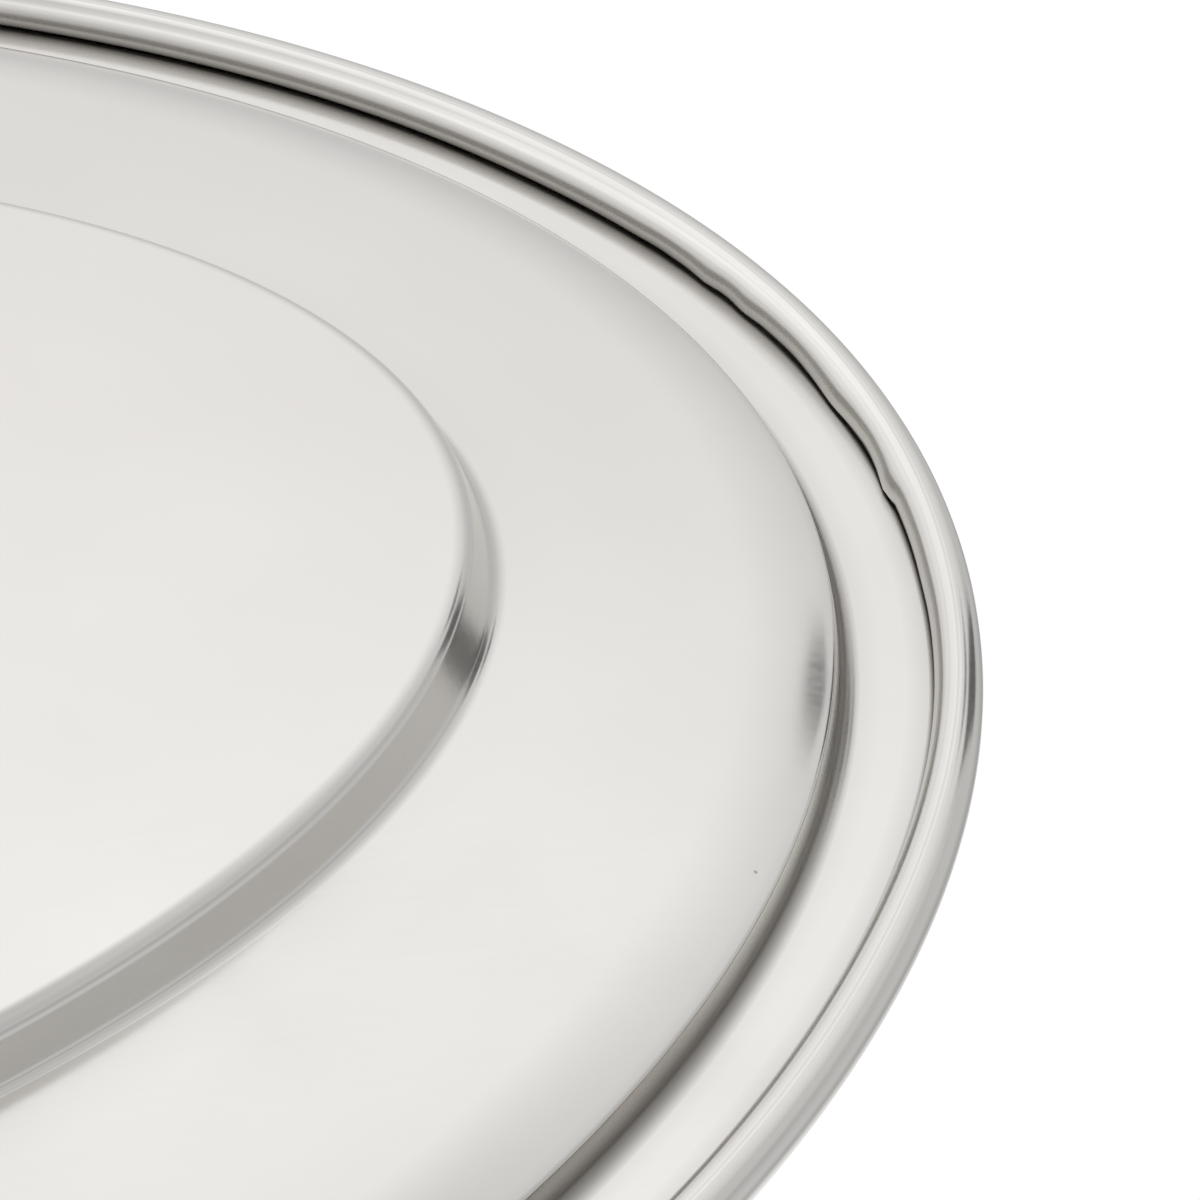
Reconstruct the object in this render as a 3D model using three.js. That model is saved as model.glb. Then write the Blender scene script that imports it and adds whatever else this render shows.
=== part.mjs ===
// Oval serving dish: one pressed sheet of stainless steel whose edge is rolled under round a stiffening wire.
// Millimetres, +Z up, the long axis along X, the origin on the table under the middle of the base.
import * as THREE from 'three';

// Outline of the rim, over the outside of the rolled edge
const dishLength = 400;
const dishWidth = 280;

// Sheet and rolled edge
const sheetThickness = 0.6;
const beadDiameter = 5.2;
const beadRise = 1.0;
const neckRadius = 3.0;
const rawEdgeGap = 0.35;
const wireClearance = 0.55;

// Flange, step and band, from the rolled edge inwards; a run is level, a drop is upright
const flangeWidth = 7.8;
const stepRun = 0.75;
const stepDrop = 3.9;
const stepFootRadius = 2.0;
const creaseRadius = 0.1;
const shoulderRun = 5.0;
const shoulderDrop = 2.0;
const shoulderRadius = 26;
const bandDrop = 2.3;

// Well: its outline is where the band meets the wall, which leans in more at the oval's ends
const wellLength = 309.1;
const wellWidth = 167.5;
const endWallRun = 2.35;
const sideWallRun = 0.4;
const wallDrop = 6.3;
const wallFootRadius = 0.7;
const baseEdgeRadius = 1.6;
const baseLand = 10;

// Facets: stations round the oval, steps along a quarter of the bead and along each bend, sides of the wire
const stationCount = 64;
const quarterSteps = 3;
const bendSteps = 2;
const wireSides = 8;

// Heights of the sheet's underside, counted up from the table
const footHeight = wallDrop;
const bandTopHeight = footHeight + bandDrop;
const creaseHeight = bandTopHeight + shoulderDrop;
const flangeHeight = creaseHeight + stepDrop;

// Outline of the base, at the foot of the leaning wall
const baseLength = wellLength - 2 * endWallRun;
const baseWidth = wellWidth - 2 * sideWallRun;

// The bead's centre line lies inside the rim outline and below the flange's top by what doesn't stand proud
const beadRadius = beadDiameter / 2;
const beadHeight = flangeHeight + sheetThickness + beadRise - beadRadius;
const boreRadius = beadRadius - sheetThickness;

// A section lies upright and square to the rim: x is the inset from the rim outline, y is the height.
// Each point is on the sheet's underside and carries the direction through the sheet to its upper face.
function arc(centre, radius, startAngle, endAngle, steps, upperFaceOutside) {
  const points = [];
  for (let step = 0; step <= steps; step++) {
    const angle = THREE.MathUtils.lerp(startAngle, endAngle, step / steps);
    const outward = new THREE.Vector2(Math.cos(angle), Math.sin(angle));
    points.push({
      under: outward.clone().multiplyScalar(radius).add(centre),
      through: upperFaceOutside ? outward : outward.clone().negate(),
    });
  }
  return points;
}

// The bend between two straight legs. The radius is the inside one, and a share of the shorter leg limits it.
function bend(before, corner, after, insideRadius, legShare = 0.48) {
  const arriving = corner.clone().sub(before);
  const leaving = after.clone().sub(corner);
  const turn = Math.atan2(arriving.cross(leaving), arriving.dot(leaving));
  const turnsUp = turn > 0;
  const underRadius = insideRadius + (turnsUp ? sheetThickness : 0);
  const room = legShare * Math.min(arriving.length(), leaving.length());
  const tangentLength = Math.min(underRadius * Math.tan(Math.abs(turn) / 2), room);
  const radius = tangentLength / Math.tan(Math.abs(turn) / 2);
  const heading = arriving.clone().normalize();
  const left = new THREE.Vector2(-heading.y, heading.x);
  const centre = corner.clone()
    .addScaledVector(heading, -tangentLength)
    .addScaledVector(left, turnsUp ? radius : -radius);
  const startAngle = left.angle() + (turnsUp ? Math.PI : 0);
  return arc(centre, radius, startAngle, startAngle + turn, bendSteps, !turnsUp);
}

// The rolled edge from its raw end, over the bead and down its neck to the flange
function rolledEdge() {
  const centre = new THREE.Vector2(beadRadius, beadHeight);
  const neckUnderRadius = neckRadius + sheetThickness;
  const neckRise = flangeHeight + neckUnderRadius - beadHeight;
  const reach = boreRadius + neckUnderRadius;
  const neckAngle = Math.asin(neckRise / reach);
  const neckCentre = new THREE.Vector2(Math.cos(neckAngle), Math.sin(neckAngle)).multiplyScalar(reach).add(centre);
  const rawEdgeAngle = 2 * Math.PI + Math.asin((flangeHeight - rawEdgeGap - beadHeight) / boreRadius);
  return [
    ...arc(centre, boreRadius, rawEdgeAngle, Math.PI, 2 * quarterSteps, true),
    ...arc(centre, boreRadius, Math.PI, Math.PI / 2, quarterSteps, true).slice(1),
    ...arc(centre, boreRadius, Math.PI / 2, neckAngle, bendSteps, true).slice(1),
    ...arc(neckCentre, neckUnderRadius, neckAngle - Math.PI, -Math.PI / 2, bendSteps, false).slice(1),
  ];
}

// The whole section from the raw edge to the level floor, given the insets of the well and of the base
function sheetSection(wellInset, baseInset) {
  const edge = rolledEdge();
  const flangeStart = edge[edge.length - 1].under;
  const stepFoot = new THREE.Vector2(beadDiameter + flangeWidth, flangeHeight);
  const crease = new THREE.Vector2(stepFoot.x + stepRun, creaseHeight);
  const shoulder = new THREE.Vector2(crease.x + shoulderRun, bandTopHeight);
  const wallFoot = new THREE.Vector2(wellInset, footHeight);
  const baseEdge = new THREE.Vector2(baseInset, 0);
  const floor = new THREE.Vector2(baseEdge.x + baseLand, 0);
  return [
    ...edge,
    ...bend(flangeStart, stepFoot, crease, stepFootRadius),
    ...bend(stepFoot, crease, shoulder, creaseRadius),
    ...bend(crease, shoulder, wallFoot, shoulderRadius, 0.85),
    ...bend(shoulder, wallFoot, baseEdge, wallFootRadius),
    ...bend(wallFoot, baseEdge, floor, baseEdgeRadius),
  ];
}

// Stations round the rim: a point of the outline and the level direction out of it
const stations = Array.from({ length: stationCount }, (_, station) => {
  const angle = 2 * Math.PI * station / stationCount;
  const rim = new THREE.Vector2(dishLength / 2 * Math.cos(angle), dishWidth / 2 * Math.sin(angle));
  const out = new THREE.Vector2(dishWidth * Math.cos(angle), dishLength * Math.sin(angle)).normalize();
  return { rim, out };
});

function placed({ rim, out }, inset, height) {
  return new THREE.Vector3(rim.x - inset * out.x, rim.y - inset * out.y, height);
}

// Distance from a rim point, square to the rim, to an oval inside it: the nearer crossing with its ellipse
function insetOf(length, width, { rim, out }) {
  const toUnitCircle = new THREE.Vector2(2 / length, 2 / width);
  const start = rim.clone().multiply(toUnitCircle);
  const direction = out.clone().multiply(toUnitCircle);
  const square = direction.lengthSq();
  const slope = start.dot(direction);
  return (slope - Math.sqrt(slope * slope - square * (start.lengthSq() - 1))) / square;
}

// Skins sections given station by station. A closed section makes a ring; the ends of an open one
// are its rings round the middle, which are closed by level floors.
function skin(sections, closed) {
  const size = sections[0].length;
  const positions = sections.flat().flatMap((point) => point.toArray());
  const triangles = [];
  const links = closed ? size : size - 1;
  const floors = closed ? [] : [{ ring: 0, faceUp: true }, { ring: size - 1, faceUp: false }];
  const middles = floors.map(({ ring }) => {
    positions.push(0, 0, sections[0][ring].z);
    return positions.length / 3 - 1;
  });
  sections.forEach((_, station) => {
    const here = station * size;
    const next = (station + 1) % sections.length * size;
    for (let link = 0; link < links; link++) {
      const after = (link + 1) % size;
      triangles.push(here + link, next + after, next + link);
      triangles.push(here + link, here + after, next + after);
    }
    floors.forEach(({ ring, faceUp }, floor) => {
      const [first, second] = faceUp ? [here, next] : [next, here];
      triangles.push(middles[floor], first + ring, second + ring);
    });
  });
  const geometry = new THREE.BufferGeometry();
  geometry.setAttribute('position', new THREE.Float32BufferAttribute(positions, 3));
  geometry.setIndex(triangles);
  geometry.computeVertexNormals();
  return geometry;
}

// Pressed sheet: the upper face from the floor out to the raw edge, then the underside back to the base
const sheetSections = stations.map((station) => {
  const section = sheetSection(
    insetOf(wellLength, wellWidth, station),
    insetOf(baseLength, baseWidth, station),
  );
  const under = section.map((point) => placed(station, point.under.x, point.under.y));
  const upper = section.map((point) => {
    const face = point.under.clone().addScaledVector(point.through, sheetThickness);
    return placed(station, face.x, face.y);
  });
  return [...upper.reverse(), ...under];
});
const dishPressing = new THREE.Mesh(
  skin(sheetSections, false),
  new THREE.MeshStandardMaterial({ color: 0xdcdad6, roughness: 0.25, metalness: 1 }),
);
dishPressing.name = 'dish_pressing';

// Stiffening wire, an endless oval in the middle of the bead
const wireRadius = boreRadius - wireClearance;
const wireSections = stations.map((station) => Array.from({ length: wireSides }, (_, side) => {
  const angle = 2 * Math.PI * side / wireSides;
  return placed(station, beadRadius + wireRadius * Math.cos(angle), beadHeight + wireRadius * Math.sin(angle));
}));
const rimWire = new THREE.Mesh(
  skin(wireSections, true),
  new THREE.MeshStandardMaterial({ color: 0x8c8b88, roughness: 0.5, metalness: 1 }),
);
rimWire.name = 'rim_wire';

const dish = new THREE.Group();
dish.add(dishPressing, rimWire);
export default dish;
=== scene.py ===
import math

import bpy
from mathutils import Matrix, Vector


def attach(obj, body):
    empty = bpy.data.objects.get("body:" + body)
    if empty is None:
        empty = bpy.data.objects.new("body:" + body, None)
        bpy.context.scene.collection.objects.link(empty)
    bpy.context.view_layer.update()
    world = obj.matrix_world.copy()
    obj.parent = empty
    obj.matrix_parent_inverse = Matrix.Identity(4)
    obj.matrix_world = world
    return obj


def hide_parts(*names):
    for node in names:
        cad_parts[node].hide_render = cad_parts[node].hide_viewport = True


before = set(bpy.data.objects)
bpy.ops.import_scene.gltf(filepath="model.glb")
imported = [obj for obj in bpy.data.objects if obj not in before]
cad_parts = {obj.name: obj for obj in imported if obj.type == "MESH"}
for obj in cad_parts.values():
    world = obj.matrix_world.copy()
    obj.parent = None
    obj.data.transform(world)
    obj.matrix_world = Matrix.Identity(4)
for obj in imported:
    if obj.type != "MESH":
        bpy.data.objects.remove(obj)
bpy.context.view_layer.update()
mm = 0.001
print("frame loaded:", sorted(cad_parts))


# sRGB hex to the linear colour that the shaders take
def hexColour(text):
    parts = [int(text[i:i + 2], 16) / 255 for i in (1, 3, 5)]
    linear = [p / 12.92 if p <= 0.04045 else ((p + 0.055) / 1.055) ** 2.4 for p in parts]
    return (*linear, 1.0)


# one node with its settings, its socket values, its ramp stops and its links
def addNode(tree, kind, settings=None, values=None, links=None, stops=None):
    node = tree.nodes.new(kind)
    for name, setting in (settings or {}).items():
        setattr(node, name, setting)
    for socket, value in (values or {}).items():
        node.inputs[socket].default_value = value
    for socket, source in (links or {}).items():
        tree.links.new(source, node.inputs[socket])
    if stops:
        ramp = node.color_ramp.elements
        while len(ramp) < len(stops):
            ramp.new(1.0)
        for element, (position, colour) in zip(ramp, stops):
            element.position = position
            element.color = hexColour(colour)
    return node


def newMaterial(name):
    material = bpy.data.materials.new(name)
    material.use_nodes = True
    material.node_tree.nodes.clear()
    return material, material.node_tree


def deselectAll():
    if bpy.context.mode != "OBJECT":
        bpy.ops.object.mode_set(mode="OBJECT")
    bpy.ops.object.select_all(action="DESELECT")


# the object alone selected and active
def pick(obj):
    deselectAll()
    obj.select_set(True)
    bpy.context.view_layer.objects.active = obj


# into edit mode with only the wanted edges selected
def editEdges(obj, wanted):
    for part in (*obj.data.polygons, *obj.data.vertices):
        part.select = False
    for edge in obj.data.edges:
        edge.select = wanted(edge)
    bpy.context.tool_settings.mesh_select_mode = (False, True, False)
    bpy.ops.object.mode_set(mode="EDIT")


# 0 before start, 1 past end and an easy change between them
def smoothShare(value, start, end):
    share = min(max((value - start) / (end - start), 0), 1)
    return share * share * (3 - 2 * share)


# the photograph's view: it shows the underside, so the camera stands below the dish
camera = {
    "place": (0.07631, 0.38422, -0.31817),
    "turn": (-130.5946, -0.6707, 13.6994),
    "lens": 160.2, "sensor": 36,    # mm
    "nearest": 0.01,
}
bpy.ops.object.camera_add(
    location=camera["place"], rotation=[math.radians(a) for a in camera["turn"]]
)
photoCamera = bpy.context.object
photoCamera.data.lens = camera["lens"]
photoCamera.data.sensor_width = camera["sensor"]
photoCamera.data.clip_start = camera["nearest"]
bpy.context.scene.camera = photoCamera
bpy.context.scene.view_settings.view_transform = "Standard"
print("camera placed")


# section of the sheet: x is the inset from the rim, y the height of its underside, both in mm
sheet = {
    "length": 400, "width": 280, "thickness": 0.6,
    "beadDiameter": 5.2, "beadRise": 1.0, "neckRadius": 3.0, "rawEdgeGap": 0.35,
    "flangeWidth": 7.8, "stepRun": 0.75, "stepDrop": 3.9, "stepFootRadius": 2.0,
    "shoulderRun": 5.0, "shoulderDrop": 2.0, "shoulderRadius": 26.0, "bandDrop": 2.3,
    "wellLength": 309.1, "wellWidth": 167.5, "wallDrop": 6.3, "baseEdgeRadius": 1.6, "baseLand": 20,
    "endWallRun": 2.35, "sideWallRun": 0.4, "endFootRadius": 2.0, "sideFootRadius": 0.7,
    "edgeRound": 0.12, "edgeCuts": 2, "creaseRound": 0.3, "creaseCuts": 3,
    "bendShare": 0.48, "shoulderShare": 0.85,   # the most of a leg that a bend takes up
    "stretchSteps": 46, "fineEnd": 0.6,         # steps of the path, finer past this share of its length
    "beadSteps": 30, "bendSteps": 5, "shoulderSteps": 7, "footSteps": 9, "baseEdgeSteps": 8,
    "flangeCuts": 2, "bandCuts": 3, "baseRings": (0.85, 0.6, 0.3),
    "mergeGap": 0.01, "smoothAngle": 50,
}
bandTop = sheet["wallDrop"] + sheet["bandDrop"]
creaseHeight = bandTop + sheet["shoulderDrop"]
flangeHeight = creaseHeight + sheet["stepDrop"]
beadRadius = sheet["beadDiameter"] / 2
boreRadius = beadRadius - sheet["thickness"]
beadHeight = flangeHeight + sheet["thickness"] + sheet["beadRise"] - beadRadius


def arcPoints(centre, radius, startAngle, endAngle, steps):
    angles = [startAngle + (endAngle - startAngle) * i / steps for i in range(steps + 1)]
    return [centre + radius * Vector((math.cos(a), math.sin(a))) for a in angles]


# round bend at a corner; the radius is on the inside of the sheet, and the legs limit it
def bendPoints(before, corner, after, insideRadius, steps, legShare=sheet["bendShare"]):
    arriving, leaving = corner - before, after - corner
    turn = math.atan2(
        arriving.x * leaving.y - arriving.y * leaving.x, arriving.dot(leaving)
    )
    underRadius = insideRadius + (sheet["thickness"] if turn > 0 else 0)
    room = legShare * min(arriving.length, leaving.length)
    tangent = min(underRadius * math.tan(abs(turn) / 2), room)
    radius = tangent / math.tan(abs(turn) / 2)
    heading = arriving.normalized()
    side = Vector((-heading.y, heading.x)) * (1 if turn > 0 else -1)
    centre = corner - heading * tangent + side * radius
    startAngle = math.atan2(-side.y, -side.x)
    return arcPoints(centre, radius, startAngle, startAngle + turn, steps)


# raw edge, round the bead, down its neck, along the flange, down the step and over the shoulder
beadCentre = Vector((beadRadius, beadHeight))
neckUnder = sheet["neckRadius"] + sheet["thickness"]
neckReach = boreRadius + neckUnder
neckAngle = math.asin((flangeHeight + neckUnder - beadHeight) / neckReach)
neckCentre = beadCentre + neckReach * Vector((math.cos(neckAngle), math.sin(neckAngle)))
rawHeight = flangeHeight - sheet["rawEdgeGap"]
rawAngle = 2 * math.pi + math.asin((rawHeight - beadHeight) / boreRadius)
stepFoot = Vector((sheet["beadDiameter"] + sheet["flangeWidth"], flangeHeight))
crease = stepFoot + Vector((sheet["stepRun"], -sheet["stepDrop"]))
shoulder = crease + Vector((sheet["shoulderRun"], -sheet["shoulderDrop"]))
meanWellInset = (sheet["length"] - sheet["wellLength"] + sheet["width"] - sheet["wellWidth"]) / 4
wallFoot = Vector((meanWellInset, sheet["wallDrop"]))
bead = arcPoints(beadCentre, boreRadius, rawAngle, neckAngle, sheet["beadSteps"])
neck = arcPoints(neckCentre, neckUnder, neckAngle - math.pi, -math.pi / 2, sheet["bendSteps"])
flangeBend = bendPoints(neck[-1], stepFoot, crease, sheet["stepFootRadius"], sheet["bendSteps"])
cuts = sheet["flangeCuts"]
flange = [neck[-1].lerp(flangeBend[0], i / (cuts + 1)) for i in range(1, cuts + 1)]
shoulderBend = bendPoints(
    crease, shoulder, wallFoot, sheet["shoulderRadius"], sheet["shoulderSteps"], sheet["shoulderShare"]
)
rimSection = bead + neck[1:] + flange + flangeBend + [crease] + shoulderBend


# the well's wall for one run, counted from the well's outline; it leans in more at the oval's ends
def wellSection(wallRun, footRadius):
    baseEdge = wallFoot + Vector((wallRun, -sheet["wallDrop"]))
    baseFlat = baseEdge + Vector((sheet["baseLand"], 0))
    footBend = bendPoints(shoulder, wallFoot, baseEdge, footRadius, sheet["footSteps"])
    edgeBend = bendPoints(wallFoot, baseEdge, baseFlat, sheet["baseEdgeRadius"], sheet["baseEdgeSteps"])
    return [p - Vector((meanWellInset, 0)) for p in footBend + edgeBend]


endSection = wellSection(sheet["endWallRun"], sheet["endFootRadius"])
sideSection = wellSection(sheet["sideWallRun"], sheet["sideFootRadius"])
print("section drawn:", len(rimSection), "rim points,", len(endSection), "well points")


# an oval path, with more stretches round its two ends, where the raw edge is crimped
def ovalPath(halfLength, halfWidth):
    deselectAll()
    bpy.ops.curve.primitive_bezier_circle_add(radius=1)
    path = bpy.context.object
    bpy.ops.object.mode_set(mode="EDIT")
    bpy.ops.curve.select_all(action="SELECT")
    bpy.ops.curve.subdivide(number_cuts=1)
    for point in path.data.splines[0].bezier_points:
        atEnd = abs(point.co.x) > sheet["fineEnd"]
        point.select_control_point = point.select_left_handle = point.select_right_handle = atEnd
    bpy.ops.curve.subdivide(number_cuts=1)
    bpy.ops.object.mode_set(mode="OBJECT")
    path.scale = (halfLength, halfWidth, 1)
    bpy.ops.object.transform_apply(location=False, rotation=False, scale=True)
    for point in path.data.splines[0].bezier_points:
        point.radius = 1
    path.data.dimensions = "2D"
    path.data.fill_mode = "NONE"
    path.data.resolution_u = sheet["stretchSteps"]
    return path


# the rim's section is swept round the oval, square to it
deselectAll()
sectionCurve = bpy.data.curves.new("rimSection", "CURVE")
sectionLine = sectionCurve.splines.new("POLY")
sectionLine.points.add(len(rimSection) - 1)
for point, place in zip(sectionLine.points, rimSection):
    point.co = (place.x * mm, place.y * mm, 0, 1)
sectionObject = bpy.data.objects.new("rimSection", sectionCurve)
bpy.context.scene.collection.objects.link(sectionObject)
pressedSheet = ovalPath(sheet["length"] / 2 * mm, sheet["width"] / 2 * mm)
pressedSheet.name = "pressed_sheet"
pressedSheet.data.bevel_mode = "OBJECT"
pressedSheet.data.bevel_object = sectionObject
bpy.ops.object.convert(target="MESH")
bpy.data.objects.remove(sectionObject)
print("rim swept:", len(pressedSheet.data.vertices), "points")

# the roll is drawn tighter round the oval's ends, and its raw edge is crimped there
roll = {
    "tightenBy": 0.85, "fullTurn": 11, "endTurn": 30,   # mm, and degrees from an end
    "lipShare": 0.36, "lipFade": 1.5,   # share of the roll that gives way at a crimp, and how fast that fades
    # turn in degrees, width before and after in degrees, how far the raw edge comes inwards in mm
    "crimps": [
        (-20.3, 0.8, 0.8, -0.10), (-17.2, 0.9, 0.6, 0.26), (-14.6, 0.8, 0.8, 0.24),
        (-11.2, 1.2, 1.2, -0.10), (-7.3, 1.6, 1.2, 0.30), (-4.0, 1.0, 1.0, -0.12),
        (-0.9, 1.3, 0.45, 0.50), (5.0, 1.6, 1.6, 0.08), (173.5, 1.4, 1.0, 0.28),
        (178.2, 1.0, 1.3, 0.34), (184.6, 0.9, 1.6, 0.26), (189.5, 1.5, 1.5, -0.10),
    ],
}
rawEdge, creaseEdge = 1, 2   # values of the "sharpEdge" mark
halfRim = Vector((sheet["length"] / 2, sheet["width"] / 2))
sectionSize = len(rimSection)
creaseIndex = rimSection.index(crease)
lipSize = int(sheet["beadSteps"] * roll["lipShare"])
outermost = min(range(sectionSize), key=lambda i: rimSection[i].x)
points = pressedSheet.data.vertices
insetMark = pressedSheet.data.attributes.new("inset", "FLOAT", "POINT")
edgeMark = pressedSheet.data.attributes.new("sharpEdge", "FLOAT", "POINT")
bandMark = pressedSheet.data.attributes.new("bandEdge", "FLOAT", "POINT")
for station in range(len(points) // sectionSize):
    first = station * sectionSize
    outer = points[first + outermost].co / mm
    reach = rimSection[outermost].x
    turn = math.atan2(outer.y / (halfRim.y - reach), outer.x / (halfRim.x - reach))
    rim = Vector((halfRim.x * math.cos(turn), halfRim.y * math.sin(turn)))
    out = Vector((halfRim.y * math.cos(turn), halfRim.x * math.sin(turn))).normalized()
    degrees = math.degrees(turn)
    fromEnd = min(abs(degrees), 180 - abs(degrees))
    tighten = roll["tightenBy"] * smoothShare(fromEnd, roll["endTurn"], roll["fullTurn"])
    crimp = 0
    for place, before, after, depth in roll["crimps"]:
        off = (degrees - place + 180) % 360 - 180
        crimp += depth * math.exp(-(off / (before if off < 0 else after)) ** 2)
    for i, place in enumerate(rimSection):
        grip = min(place.x / sheet["beadDiameter"], 1)      # the rim's outline itself stays
        if place.x > neck[-1].x and i > sheet["beadSteps"]:
            grip = max(0, 1 - (place.x - neck[-1].x) / (flangeBend[0].x - neck[-1].x))  # fades out
        inset = place.x - tighten * grip
        if i < lipSize:
            inset += crimp * (1 - i / lipSize) ** roll["lipFade"]
        points[first + i].co.x = (rim.x - inset * out.x) * mm
        points[first + i].co.y = (rim.y - inset * out.y) * mm
        insetMark.data[first + i].value = place.x
        edgeMark.data[first + i].value = {0: rawEdge, creaseIndex: creaseEdge}.get(i, 0)
        bandMark.data[first + i].value = 1 if i == sectionSize - 1 else 0
print("raw edge crimped")

# the well: an oval ring drawn in step by step over the wall and across the base
well = ovalPath(1, 1)
bpy.ops.object.convert(target="MESH")
for point in well.data.vertices:
    point.co.normalize()    # a true circle, which is drawn out to the well's oval below
halfLength = [(sheet["wellLength"] / 2 - p.x) * mm for p in endSection]
halfWidth = [(sheet["wellWidth"] / 2 - p.x) * mm for p in sideSection]
endHeight = [p.y * mm for p in endSection]
sideHeight = [p.y * mm for p in sideSection]
for share in sheet["baseRings"]:
    halfLength.append(halfLength[len(endSection) - 1] * share)
    halfWidth.append(halfWidth[len(endSection) - 1] * share)
    endHeight.append(0)
    sideHeight.append(0)
ringSize = len(well.data.vertices)
bpy.ops.object.mode_set(mode="EDIT")
bpy.ops.mesh.select_all(action="SELECT")
bpy.ops.transform.resize(value=(halfLength[0], halfWidth[0], 1))
bpy.ops.transform.translate(value=(0, 0, endHeight[0]))
for i in range(1, len(endHeight)):
    bpy.ops.mesh.extrude_region_move()
    bpy.ops.transform.resize(
        value=(halfLength[i] / halfLength[i - 1], halfWidth[i] / halfWidth[i - 1], 1)
    )
    bpy.ops.transform.translate(value=(0, 0, endHeight[i] - endHeight[i - 1]))
bpy.ops.mesh.edge_face_add()
bpy.ops.mesh.poke()
bpy.ops.object.mode_set(mode="OBJECT")
wellMark = well.data.attributes.new("inset", "FLOAT", "POINT")
bandMark = well.data.attributes.new("bandEdge", "FLOAT", "POINT")
for i, point in enumerate(well.data.vertices):
    wellMark.data[i].value = meanWellInset
    bandMark.data[i].value = 1 if i < ringSize else 0
    ring = i // ringSize
    if ring < len(endHeight):
        sideShare = (point.co.y / halfWidth[ring]) ** 2
        point.co.z = endHeight[ring] + (sideHeight[ring] - endHeight[ring]) * sideShare

# the band bridges the rim's inner ring and the well's outer ring
deselectAll()
well.select_set(True)
pressedSheet.select_set(True)
bpy.context.view_layer.objects.active = pressedSheet
bpy.ops.object.join()
bandMark = pressedSheet.data.attributes["bandEdge"].data
editEdges(pressedSheet, lambda edge: all(bandMark[i].value == 1 for i in edge.vertices))
bpy.ops.mesh.bridge_edge_loops(number_cuts=sheet["bandCuts"], interpolation="LINEAR")
bpy.ops.mesh.select_all(action="SELECT")
bpy.ops.mesh.remove_doubles(threshold=sheet["mergeGap"] * mm)
bpy.ops.mesh.normals_make_consistent(inside=False)
bpy.ops.object.mode_set(mode="OBJECT")
baseFaces = [p for p in pressedSheet.data.polygons if abs(p.center.z) < sheet["mergeGap"] * mm]
if sum(p.normal.z for p in baseFaces) < 0:   # the faces have to look up, so that the wall grows upwards
    bpy.ops.object.mode_set(mode="EDIT")
    bpy.ops.mesh.select_all(action="SELECT")
    bpy.ops.mesh.flip_normals()
    bpy.ops.object.mode_set(mode="OBJECT")
thicken = pressedSheet.modifiers.new("thickness", "SOLIDIFY")
thicken.thickness = sheet["thickness"] * mm
thicken.offset = 1
thicken.use_even_offset = True
upperCount = len(pressedSheet.data.vertices)   # the upper face's points come first, the underside's follow
pick(pressedSheet)
bpy.ops.object.modifier_apply(modifier="thickness")

# the sheet's corners are rougher and darkened with painted shade; the well's wall is darker towards the
# oval's ends
dullAndShade = {
    "rollStart": 11.4, "rollEnd": 12.7, "rollDepth": 0.36,      # heights on the roll, in mm
    "flangeReach": 0.8, "farReach": 2.0, "flangeDepth": 0.78,   # mm from the gap, on the +Y and -Y side
    "farSide": 70,              # mm from the long axis, where the far reach is full
    "footCentre": (13.3, 13.2), "footCore": 0.3, "footReach": 2.7, "footDepth": 0.68,   # inset and height
    "boreInset": 4.6, "boreDepth": 0.45,
    "wallEndDepth": 0.12, "wallEndTurn": 13,    # degrees; the wall is darker towards the oval's ends
    "wallLow": (0.2, 1.2), "wallHigh": (5.2, 6.2),   # heights between which that comes and goes
}
dullAndShadeMark = pressedSheet.data.attributes.new("dullAndShade", "FLOAT", "POINT")
insetMark = pressedSheet.data.attributes["inset"]
for i, point in enumerate(pressedSheet.data.vertices):
    inset, up = insetMark.data[i].value, point.co.z / mm
    onRoll = inset < neck[-1].x and up < flangeHeight
    if i < upperCount:
        inner = inset > beadRadius and onRoll
        depth = dullAndShade["rollDepth"] * smoothShare(up, dullAndShade["rollStart"], dullAndShade["rollEnd"]) if inner else 0
    elif inset > meanWellInset - sheet["mergeGap"]:
        across, along = abs(point.co.y) / sheet["wellWidth"], abs(point.co.x) / sheet["wellLength"]
        atEnd = math.exp(-(math.degrees(math.atan2(across, along)) / dullAndShade["wallEndTurn"]) ** 2)
        onWall = smoothShare(up, *dullAndShade["wallLow"]) * (1 - smoothShare(up, *dullAndShade["wallHigh"]))
        depth = dullAndShade["wallEndDepth"] * onWall * atEnd
    elif inset < dullAndShade["boreInset"]:
        depth = dullAndShade["boreDepth"]
    else:
        fromGap = max(inset - sheet["beadDiameter"], 0)
        fromFoot = (Vector((inset, up)) - Vector(dullAndShade["footCentre"])).length
        farShare = smoothShare(-point.co.y / mm, 0, dullAndShade["farSide"])
        reach = dullAndShade["flangeReach"] + (dullAndShade["farReach"] - dullAndShade["flangeReach"]) * farShare
        besideRoll = dullAndShade["flangeDepth"] * (1 - smoothShare(fromGap, 0, reach))
        atFoot = dullAndShade["footDepth"] * (1 - smoothShare(fromFoot, dullAndShade["footCore"], dullAndShade["footReach"]))
        depth = max(besideRoll, atFoot)
    dullAndShadeMark.data[i].value = depth


# bevels the edges along the points that carry a mark
def bevelMarked(mark, width, segments):
    marks = pressedSheet.data.attributes["sharpEdge"].data
    editEdges(
        pressedSheet,
        lambda edge: not edge.use_seam and all(marks[i].value == mark for i in edge.vertices),
    )
    bpy.ops.mesh.bevel(offset=width * mm, segments=segments, affect="EDGES")
    bpy.ops.object.mode_set(mode="OBJECT")


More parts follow.
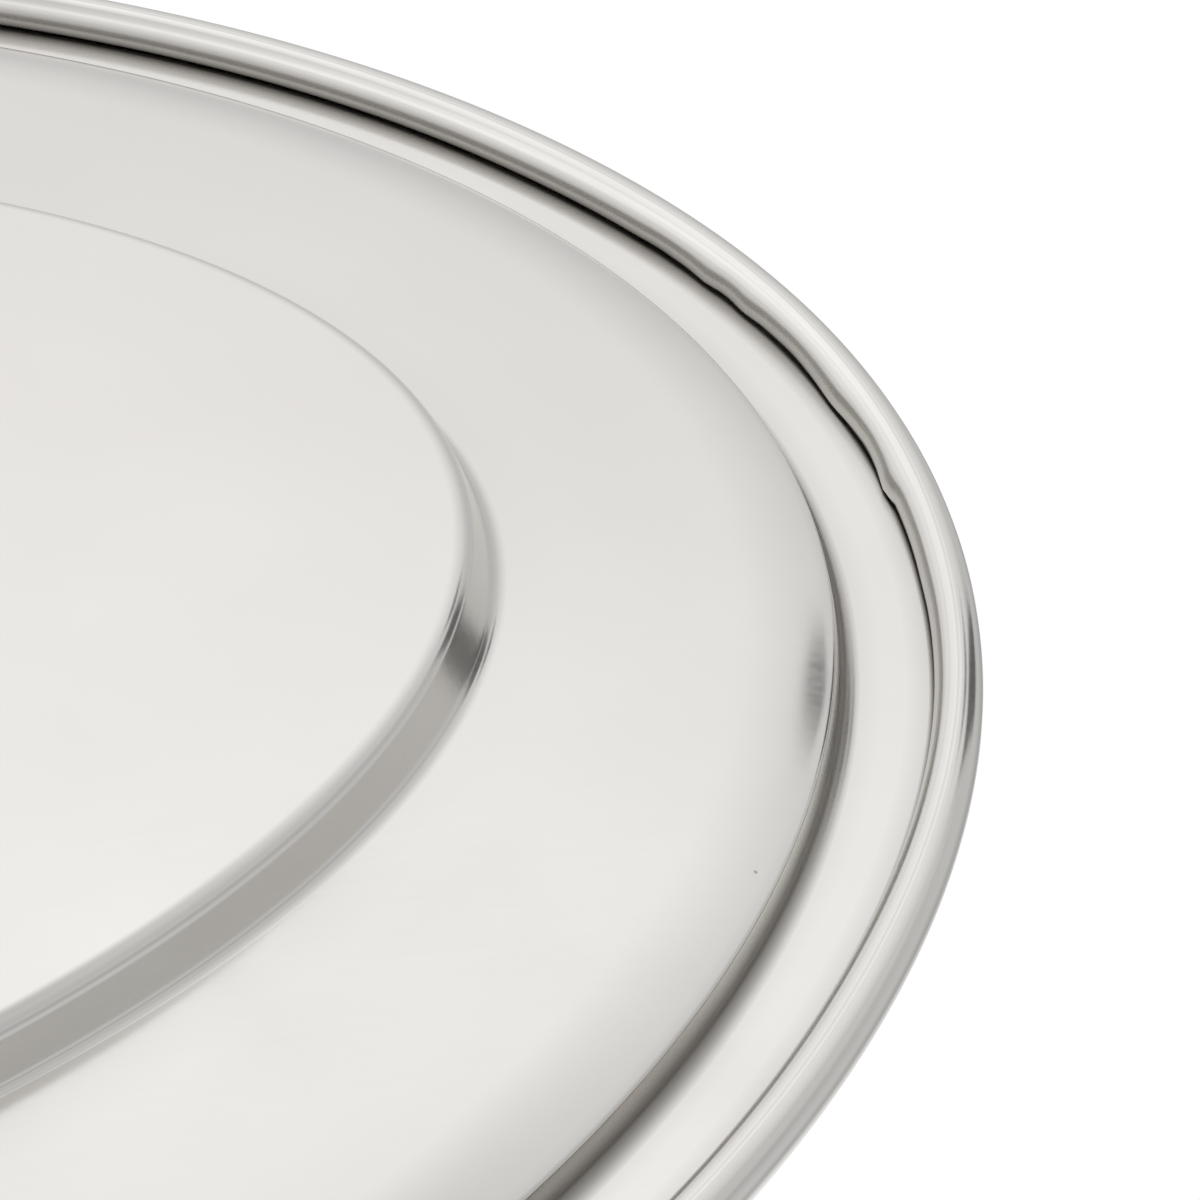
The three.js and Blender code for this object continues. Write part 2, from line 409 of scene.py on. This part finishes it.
# the cut edge of the sheet and the crease are slightly rounded; the cut face's own ribs stay
for edge in pressedSheet.data.edges:
    edge.use_seam = (edge.vertices[0] < upperCount) != (edge.vertices[1] < upperCount)
bevelMarked(rawEdge, sheet["edgeRound"], sheet["edgeCuts"])
bevelMarked(creaseEdge, sheet["creaseRound"], sheet["creaseCuts"])
bpy.ops.object.shade_smooth_by_angle(angle=math.radians(sheet["smoothAngle"]))
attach(pressedSheet, "root")
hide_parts("dish_pressing")
print("sheet made:", len(pressedSheet.data.polygons), "faces")


# the stiffening wire in the bore of the roll, which it follows outwards at the oval's ends
wire = {"clearance": 0.55, "endShift": 0.4, "stretchSteps": 64, "sideSteps": 4}
deselectAll()
bpy.ops.curve.primitive_bezier_circle_add(radius=1, location=(0, 0, beadHeight * mm))
edgeWire = bpy.context.object
edgeWire.name = "edge_wire"
edgeWire.scale = (
    (sheet["length"] / 2 - beadRadius + wire["endShift"]) * mm,
    (sheet["width"] / 2 - beadRadius) * mm, 1,
)
bpy.ops.object.transform_apply(location=True, rotation=False, scale=True)
for point in edgeWire.data.splines[0].bezier_points:
    point.radius = 1
edgeWire.data.dimensions = "3D"
edgeWire.data.resolution_u = wire["stretchSteps"]
edgeWire.data.bevel_depth = (boreRadius - wire["clearance"]) * mm
edgeWire.data.bevel_resolution = wire["sideSteps"]
bpy.ops.object.convert(target="MESH")
bpy.ops.object.shade_smooth()
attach(edgeWire, "root")
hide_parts("rim_wire")
print("wire made:", len(edgeWire.data.polygons), "faces")


# satin stainless steel: cold-rolled sheet, polished lightly along its length, then pressed and wiped clean.
# It mirrors its surroundings softly, with faint streaks along the sheet, slow clouds, a slight waviness from
# the press, wiping smudges and a few specks; its corners are rougher, with painted shade in a brownish grey.
steelFinish = {
    "colour": "#f9f7f3", "cloudColour": "#f6f3f0", "shadeAndLineColour": "#4a443e", "speck": "#8f8b86",
    "roughness": 0.165, "dullRoughness": 0.42, "grainRoughness": 0.03, "smudgeRoughness": 0.05,
    "cloudSize": 0.04, "smudgeSize": 0.02, "speckSpacing": 0.022, "speckRadius": 0.00016,
    "speckSoftness": 1.6,
    "grainLength": 0.05, "grainWidth": 0.0006,   # real scratches are ten times finer; drawn coarser to show
    "grainDepth": 0.0000006, "wavinessDepth": 0.000012,
    "rimLineWidth": 0.35, "rimLineFade": 1.0,    # mm, drawn lines round the rolled edge
}
satinSteel, tree = newMaterial("satin stainless steel")
place = addNode(tree, "ShaderNodeTexCoord").outputs["Object"]
dullnessAndShade = addNode(tree, "ShaderNodeAttribute", {"attribute_name": "dullAndShade"}).outputs["Fac"]
insetValue = addNode(tree, "ShaderNodeAttribute", {"attribute_name": "inset"}).outputs["Fac"]
clouds = addNode(tree, "ShaderNodeTexNoise", values={
    "Scale": 1 / steelFinish["cloudSize"], "Detail": 3.0,
}, links={"Vector": place}).outputs["Fac"]
smudges = addNode(tree, "ShaderNodeTexNoise", values={
    "Scale": 1 / steelFinish["smudgeSize"], "Detail": 4.0, "Distortion": 0.6,
}, links={"Vector": place}).outputs["Fac"]
grainPlace = addNode(tree, "ShaderNodeVectorMath", {"operation": "MULTIPLY"}, {
    1: (1 / steelFinish["grainLength"], 1 / steelFinish["grainWidth"], 1 / steelFinish["grainWidth"]),
}, {0: place}).outputs["Vector"]
grain = addNode(tree, "ShaderNodeTexNoise", values={"Scale": 1.0, "Detail": 2.0},
                links={"Vector": grainPlace}).outputs["Fac"]
specks = addNode(tree, "ShaderNodeTexVoronoi", values={"Scale": 1 / steelFinish["speckSpacing"]},
                 links={"Vector": place}).outputs["Distance"]
rimLines = addNode(tree, "ShaderNodeTexNoise", {"noise_dimensions": "1D"}, {
    "Scale": 1 / steelFinish["rimLineWidth"], "Detail": 2.0,
}, {"W": insetValue}).outputs["Fac"]
rollShare = addNode(tree, "ShaderNodeMapRange", values={
    "From Min": sheet["beadDiameter"], "From Max": sheet["beadDiameter"] - steelFinish["rimLineFade"],
}, links={"Value": insetValue}).outputs["Result"]
cloudShare = addNode(tree, "ShaderNodeMapRange", values={"From Min": 0.35, "From Max": 0.65},
                     links={"Value": clouds}).outputs["Result"]
clouded = addNode(tree, "ShaderNodeMix", {"data_type": "RGBA"}, {
    6: hexColour(steelFinish["colour"]), 7: hexColour(steelFinish["cloudColour"]),
}, {0: cloudShare}).outputs[2]
speckSize = steelFinish["speckRadius"] / steelFinish["speckSpacing"]
speckShare = addNode(tree, "ShaderNodeMapRange", values={
    "From Min": speckSize * steelFinish["speckSoftness"], "From Max": speckSize, "To Max": 0.6,
}, links={"Value": specks}).outputs["Result"]
specked = addNode(tree, "ShaderNodeMix", {"data_type": "RGBA"}, {7: hexColour(steelFinish["speck"])},
                  {0: speckShare, 6: clouded}).outputs[2]
lineDullness = addNode(tree, "ShaderNodeMapRange", values={
    "From Min": 0.5, "From Max": 0.75, "To Max": 0.16,
}, links={"Value": rimLines}).outputs["Result"]
# the lines round the roll, and the painted shade in the sheet's corners: both darken the colour and roughen
# it
linesDullnessAndShade = addNode(tree, "ShaderNodeMath", {"operation": "MULTIPLY_ADD"},
                       links={0: lineDullness, 1: rollShare, 2: dullnessAndShade}).outputs["Value"]
linedAndShadedColour = addNode(tree, "ShaderNodeMix", {"data_type": "RGBA"}, {7: hexColour(steelFinish["shadeAndLineColour"])},
                 {0: linesDullnessAndShade, 6: specked}).outputs[2]
plainRoughness = addNode(tree, "ShaderNodeMapRange", values={
    "To Min": steelFinish["roughness"], "To Max": steelFinish["dullRoughness"],
}, links={"Value": linesDullnessAndShade}).outputs["Result"]
smudgeShare = addNode(tree, "ShaderNodeMapRange", values={
    "From Min": 0.52, "From Max": 0.72, "To Max": steelFinish["smudgeRoughness"],
}, links={"Value": smudges}).outputs["Result"]
grainShare = addNode(tree, "ShaderNodeMapRange", values={
    "From Min": 0.3, "From Max": 0.7,
    "To Min": -steelFinish["grainRoughness"] / 2, "To Max": steelFinish["grainRoughness"] / 2,
}, links={"Value": grain}).outputs["Result"]
withSmudges = addNode(tree, "ShaderNodeMath", {"operation": "ADD"},
                      links={0: plainRoughness, 1: smudgeShare}).outputs["Value"]
roughness = addNode(tree, "ShaderNodeMath", {"operation": "ADD"},
                    links={0: withSmudges, 1: grainShare}).outputs["Value"]
waviness = addNode(tree, "ShaderNodeBump", values={"Distance": steelFinish["wavinessDepth"]},
                   links={"Height": clouds}).outputs["Normal"]
streaks = addNode(tree, "ShaderNodeBump", values={"Distance": steelFinish["grainDepth"]},
                  links={"Height": grain, "Normal": waviness}).outputs["Normal"]
steel = addNode(tree, "ShaderNodeBsdfPrincipled", values={"Metallic": 1.0},
                links={"Base Color": linedAndShadedColour, "Roughness": roughness, "Normal": streaks})
addNode(tree, "ShaderNodeOutputMaterial", links={"Surface": steel.outputs["BSDF"]})
pressedSheet.data.materials.clear()
pressedSheet.data.materials.append(satinSteel)

# drawn steel wire: pulled through a die, so it has fine lines and a dull, slightly blotched grey sheen
wireFinish = {
    "colour": "#bdbab4", "blotch": "#a8a49d", "blotchSize": 0.006,
    "roughness": 0.4, "roughnessSpread": 0.08, "lineDepth": 0.00001,
}
drawnWire, tree = newMaterial("drawn steel wire")
place = addNode(tree, "ShaderNodeTexCoord").outputs["Object"]
blotches = addNode(tree, "ShaderNodeTexNoise", values={
    "Scale": 1 / wireFinish["blotchSize"], "Detail": 3.0,
}, links={"Vector": place}).outputs["Fac"]
wireColour = addNode(tree, "ShaderNodeMix", {"data_type": "RGBA"}, {
    6: hexColour(wireFinish["colour"]), 7: hexColour(wireFinish["blotch"]),
}, {0: blotches}).outputs[2]
wireRoughness = addNode(tree, "ShaderNodeMapRange", values={
    "To Min": wireFinish["roughness"] - wireFinish["roughnessSpread"],
    "To Max": wireFinish["roughness"] + wireFinish["roughnessSpread"],
}, links={"Value": blotches}).outputs["Result"]
wireLines = addNode(tree, "ShaderNodeBump", values={"Distance": wireFinish["lineDepth"]},
                    links={"Height": blotches}).outputs["Normal"]
wireShader = addNode(tree, "ShaderNodeBsdfPrincipled", values={"Metallic": 1.0},
                     links={"Base Color": wireColour, "Roughness": wireRoughness, "Normal": wireLines})
addNode(tree, "ShaderNodeOutputMaterial", links={"Surface": wireShader.outputs["BSDF"]})
edgeWire.data.materials.clear()
edgeWire.data.materials.append(drawnWire)
print("materials made")


# the studio: a pale floor that is clear from below, a light tent and two flags that show only in the metal
studio = {
    "floorSize": 24.0, "floorGap": 0.0003,
    "floorColour": "#f3f2f0", "mottleColour": "#f0efed", "mottleSize": 0.15,
    "tentRadius": 6.0, "tentSegments": 48, "tentRings": 24,
    "backSide": (0.227, -0.974, 0.0),      # the way from the camera over the dish
    "rightSide": (0.974, 0.227, 0.0),
    # the tent's grey on its lit and on its far side, by the share of its height counted from its top
    "tentGreys": [
        (0.06, "#ffffff", "#ffffff"), (0.22, "#d8d8d8", "#a0a0a0"), (0.375, "#d6d6d6", "#bebebe"),
        (0.525, "#d2d2d2", "#bcbcbc"), (0.625, "#dedede", "#a5a5a5"), (0.7, "#e4e4e4", "#bebebe"),
        (0.8, "#f0f0f0", "#b8b8b8"), (0.875, "#ffffff", "#bbbbbb"), (0.925, "#f0f0f0", "#c0c0c0"),
        (0.985, "#bebebe", "#b0b0b0"),
    ],
    "litAbove": -140, "litBelow": -60,     # bearing of the lit side in degrees, above and below the dish
    "litChange": (0.4, 0.6),               # shares of the height between which that bearing turns
    "litSpread": 30,                       # degrees to each side of it that are lit in full
    # dark flags beside the end of the dish: place, width, lowest and highest edge in metres, colour
    "flags": [
        ((0.2935, -0.0332), 0.034, 0.015, -0.047, "#545454"),
        ((0.2745, -0.0559), 0.023, -0.055, -0.081, "#5c5c5c"),
    ],
    "flagFacing": (0.875, -0.483),         # the way from the dish to the flags
}
deselectAll()
bpy.ops.mesh.primitive_plane_add(size=studio["floorSize"], location=(0, 0, -studio["floorGap"]))
floor = bpy.context.object
floor.name = "floor"
for ray in ("diffuse", "glossy", "transmission", "shadow"):
    setattr(floor, "visible_" + ray, False)     # it takes the dish's shadow and gives nothing back
floorPaint, tree = newMaterial("pale floor paint")
geometry = addNode(tree, "ShaderNodeNewGeometry")
place = addNode(tree, "ShaderNodeTexCoord").outputs["Object"]
mottle = addNode(tree, "ShaderNodeTexNoise", values={"Scale": 1 / studio["mottleSize"], "Detail": 3.0},
                 links={"Vector": place}).outputs["Fac"]
floorColour = addNode(tree, "ShaderNodeMix", {"data_type": "RGBA"}, {
    6: hexColour(studio["floorColour"]), 7: hexColour(studio["mottleColour"]),
}, {0: mottle}).outputs[2]
paint = addNode(tree, "ShaderNodeBsdfDiffuse", links={"Color": floorColour})
clear = addNode(tree, "ShaderNodeBsdfTransparent")
oneSided = addNode(tree, "ShaderNodeMixShader", links={
    "Fac": geometry.outputs["Backfacing"], 1: paint.outputs["BSDF"], 2: clear.outputs["BSDF"],
})
addNode(tree, "ShaderNodeOutputMaterial", links={"Surface": oneSided.outputs["Shader"]})
floor.data.materials.append(floorPaint)

deselectAll()
bpy.ops.mesh.primitive_uv_sphere_add(
    segments=studio["tentSegments"], ring_count=studio["tentRings"], radius=studio["tentRadius"]
)
tent = bpy.context.object
tent.name = "light_tent"
tent.visible_camera = False
tent.visible_diffuse = False    # the world lights the floor evenly, the tent shows only in the metal
tentCloth, tree = newMaterial("white tent cloth")
place = addNode(tree, "ShaderNodeTexCoord")
direction = addNode(tree, "ShaderNodeVectorMath", {"operation": "NORMALIZE"},
                    links={0: place.outputs["Object"]})
axes = addNode(tree, "ShaderNodeSeparateXYZ", links={0: direction.outputs["Vector"]})
heightShare = addNode(tree, "ShaderNodeMapRange", values={"From Min": 1.0, "From Max": -1.0},
                      links={"Value": axes.outputs["Z"]})
towardsBack = addNode(tree, "ShaderNodeVectorMath", {"operation": "DOT_PRODUCT"},
                      {1: studio["backSide"]}, {0: direction.outputs["Vector"]})
towardsRight = addNode(tree, "ShaderNodeVectorMath", {"operation": "DOT_PRODUCT"},
                       {1: studio["rightSide"]}, {0: direction.outputs["Vector"]})
bearing = addNode(tree, "ShaderNodeMath", {"operation": "ARCTAN2"},
                  links={0: towardsRight.outputs["Value"], 1: towardsBack.outputs["Value"]})
litBearing = addNode(tree, "ShaderNodeMapRange", values={
    "From Min": studio["litChange"][0], "From Max": studio["litChange"][1],
    "To Min": math.radians(studio["litAbove"]), "To Max": math.radians(studio["litBelow"]),
}, links={"Value": heightShare.outputs["Result"]})
turned = addNode(tree, "ShaderNodeMath", {"operation": "SUBTRACT"},
                 links={0: bearing.outputs["Value"], 1: litBearing.outputs["Result"]})
cosine = addNode(tree, "ShaderNodeMath", {"operation": "COSINE"}, links={0: turned.outputs["Value"]})
away = addNode(tree, "ShaderNodeMath", {"operation": "ARCCOSINE"}, links={0: cosine.outputs["Value"]})
litShare = addNode(tree, "ShaderNodeMapRange", {"interpolation_type": "SMOOTHSTEP"}, {
    "From Min": math.pi, "From Max": math.radians(studio["litSpread"]),
}, {"Value": away.outputs["Value"]})
litGrey, farGrey = (
    addNode(tree, "ShaderNodeValToRGB", links={"Fac": heightShare.outputs["Result"]},
            stops=[(level[0], level[side]) for level in studio["tentGreys"]])
    for side in (1, 2)
)
tentGrey = addNode(tree, "ShaderNodeMix", {"data_type": "RGBA"}, links={
    0: litShare.outputs["Result"], 6: farGrey.outputs["Color"], 7: litGrey.outputs["Color"],
}).outputs[2]
glow = addNode(tree, "ShaderNodeEmission", links={"Color": tentGrey})
addNode(tree, "ShaderNodeOutputMaterial", links={"Surface": glow.outputs["Emission"]})
tentCloth.cycles.emission_sampling = "NONE"   # it is only met by chance, which keeps renders quick
tent.data.materials.append(tentCloth)

# dark flags close to the end of the dish, which show only in the metal
for i, (flagPlace, width, low, high, colour) in enumerate(studio["flags"]):
    deselectAll()
    bpy.ops.mesh.primitive_plane_add(size=1)
    flag = bpy.context.object
    flag.name = "dark_flag_" + str(i + 1)
    flag.scale = (low - high, width, 1)
    flag.rotation_euler = (0, math.pi / 2, math.atan2(studio["flagFacing"][1], studio["flagFacing"][0]))
    flag.location = (*flagPlace, (low + high) / 2)
    bpy.ops.object.transform_apply(location=True, rotation=True, scale=True)
    for ray in ("camera", "diffuse", "transmission", "shadow"):
        setattr(flag, "visible_" + ray, False)
    flagCloth, tree = newMaterial("dark flag cloth " + str(i + 1))
    cloth = addNode(tree, "ShaderNodeBsdfDiffuse", values={"Color": hexColour(colour)})
    addNode(tree, "ShaderNodeOutputMaterial", links={"Surface": cloth.outputs["BSDF"]})
    flag.data.materials.append(flagCloth)

world = bpy.data.worlds.new("white studio")
bpy.context.scene.world = world
world.use_nodes = True
world.node_tree.nodes["Background"].inputs["Color"].default_value = (1, 1, 1, 1)
world.node_tree.nodes["Background"].inputs["Strength"].default_value = 1.0

lamp = {"place": (-0.5, -0.6, 1.4), "size": 0.9, "watts": 5}
deselectAll()
bpy.ops.object.light_add(type="AREA", location=lamp["place"])
softLamp = bpy.context.object
softLamp.data.size = lamp["size"]
softLamp.data.energy = lamp["watts"]
softLamp.rotation_euler = Vector(lamp["place"]).to_track_quat("Z", "Y").to_euler()
print("studio set up")
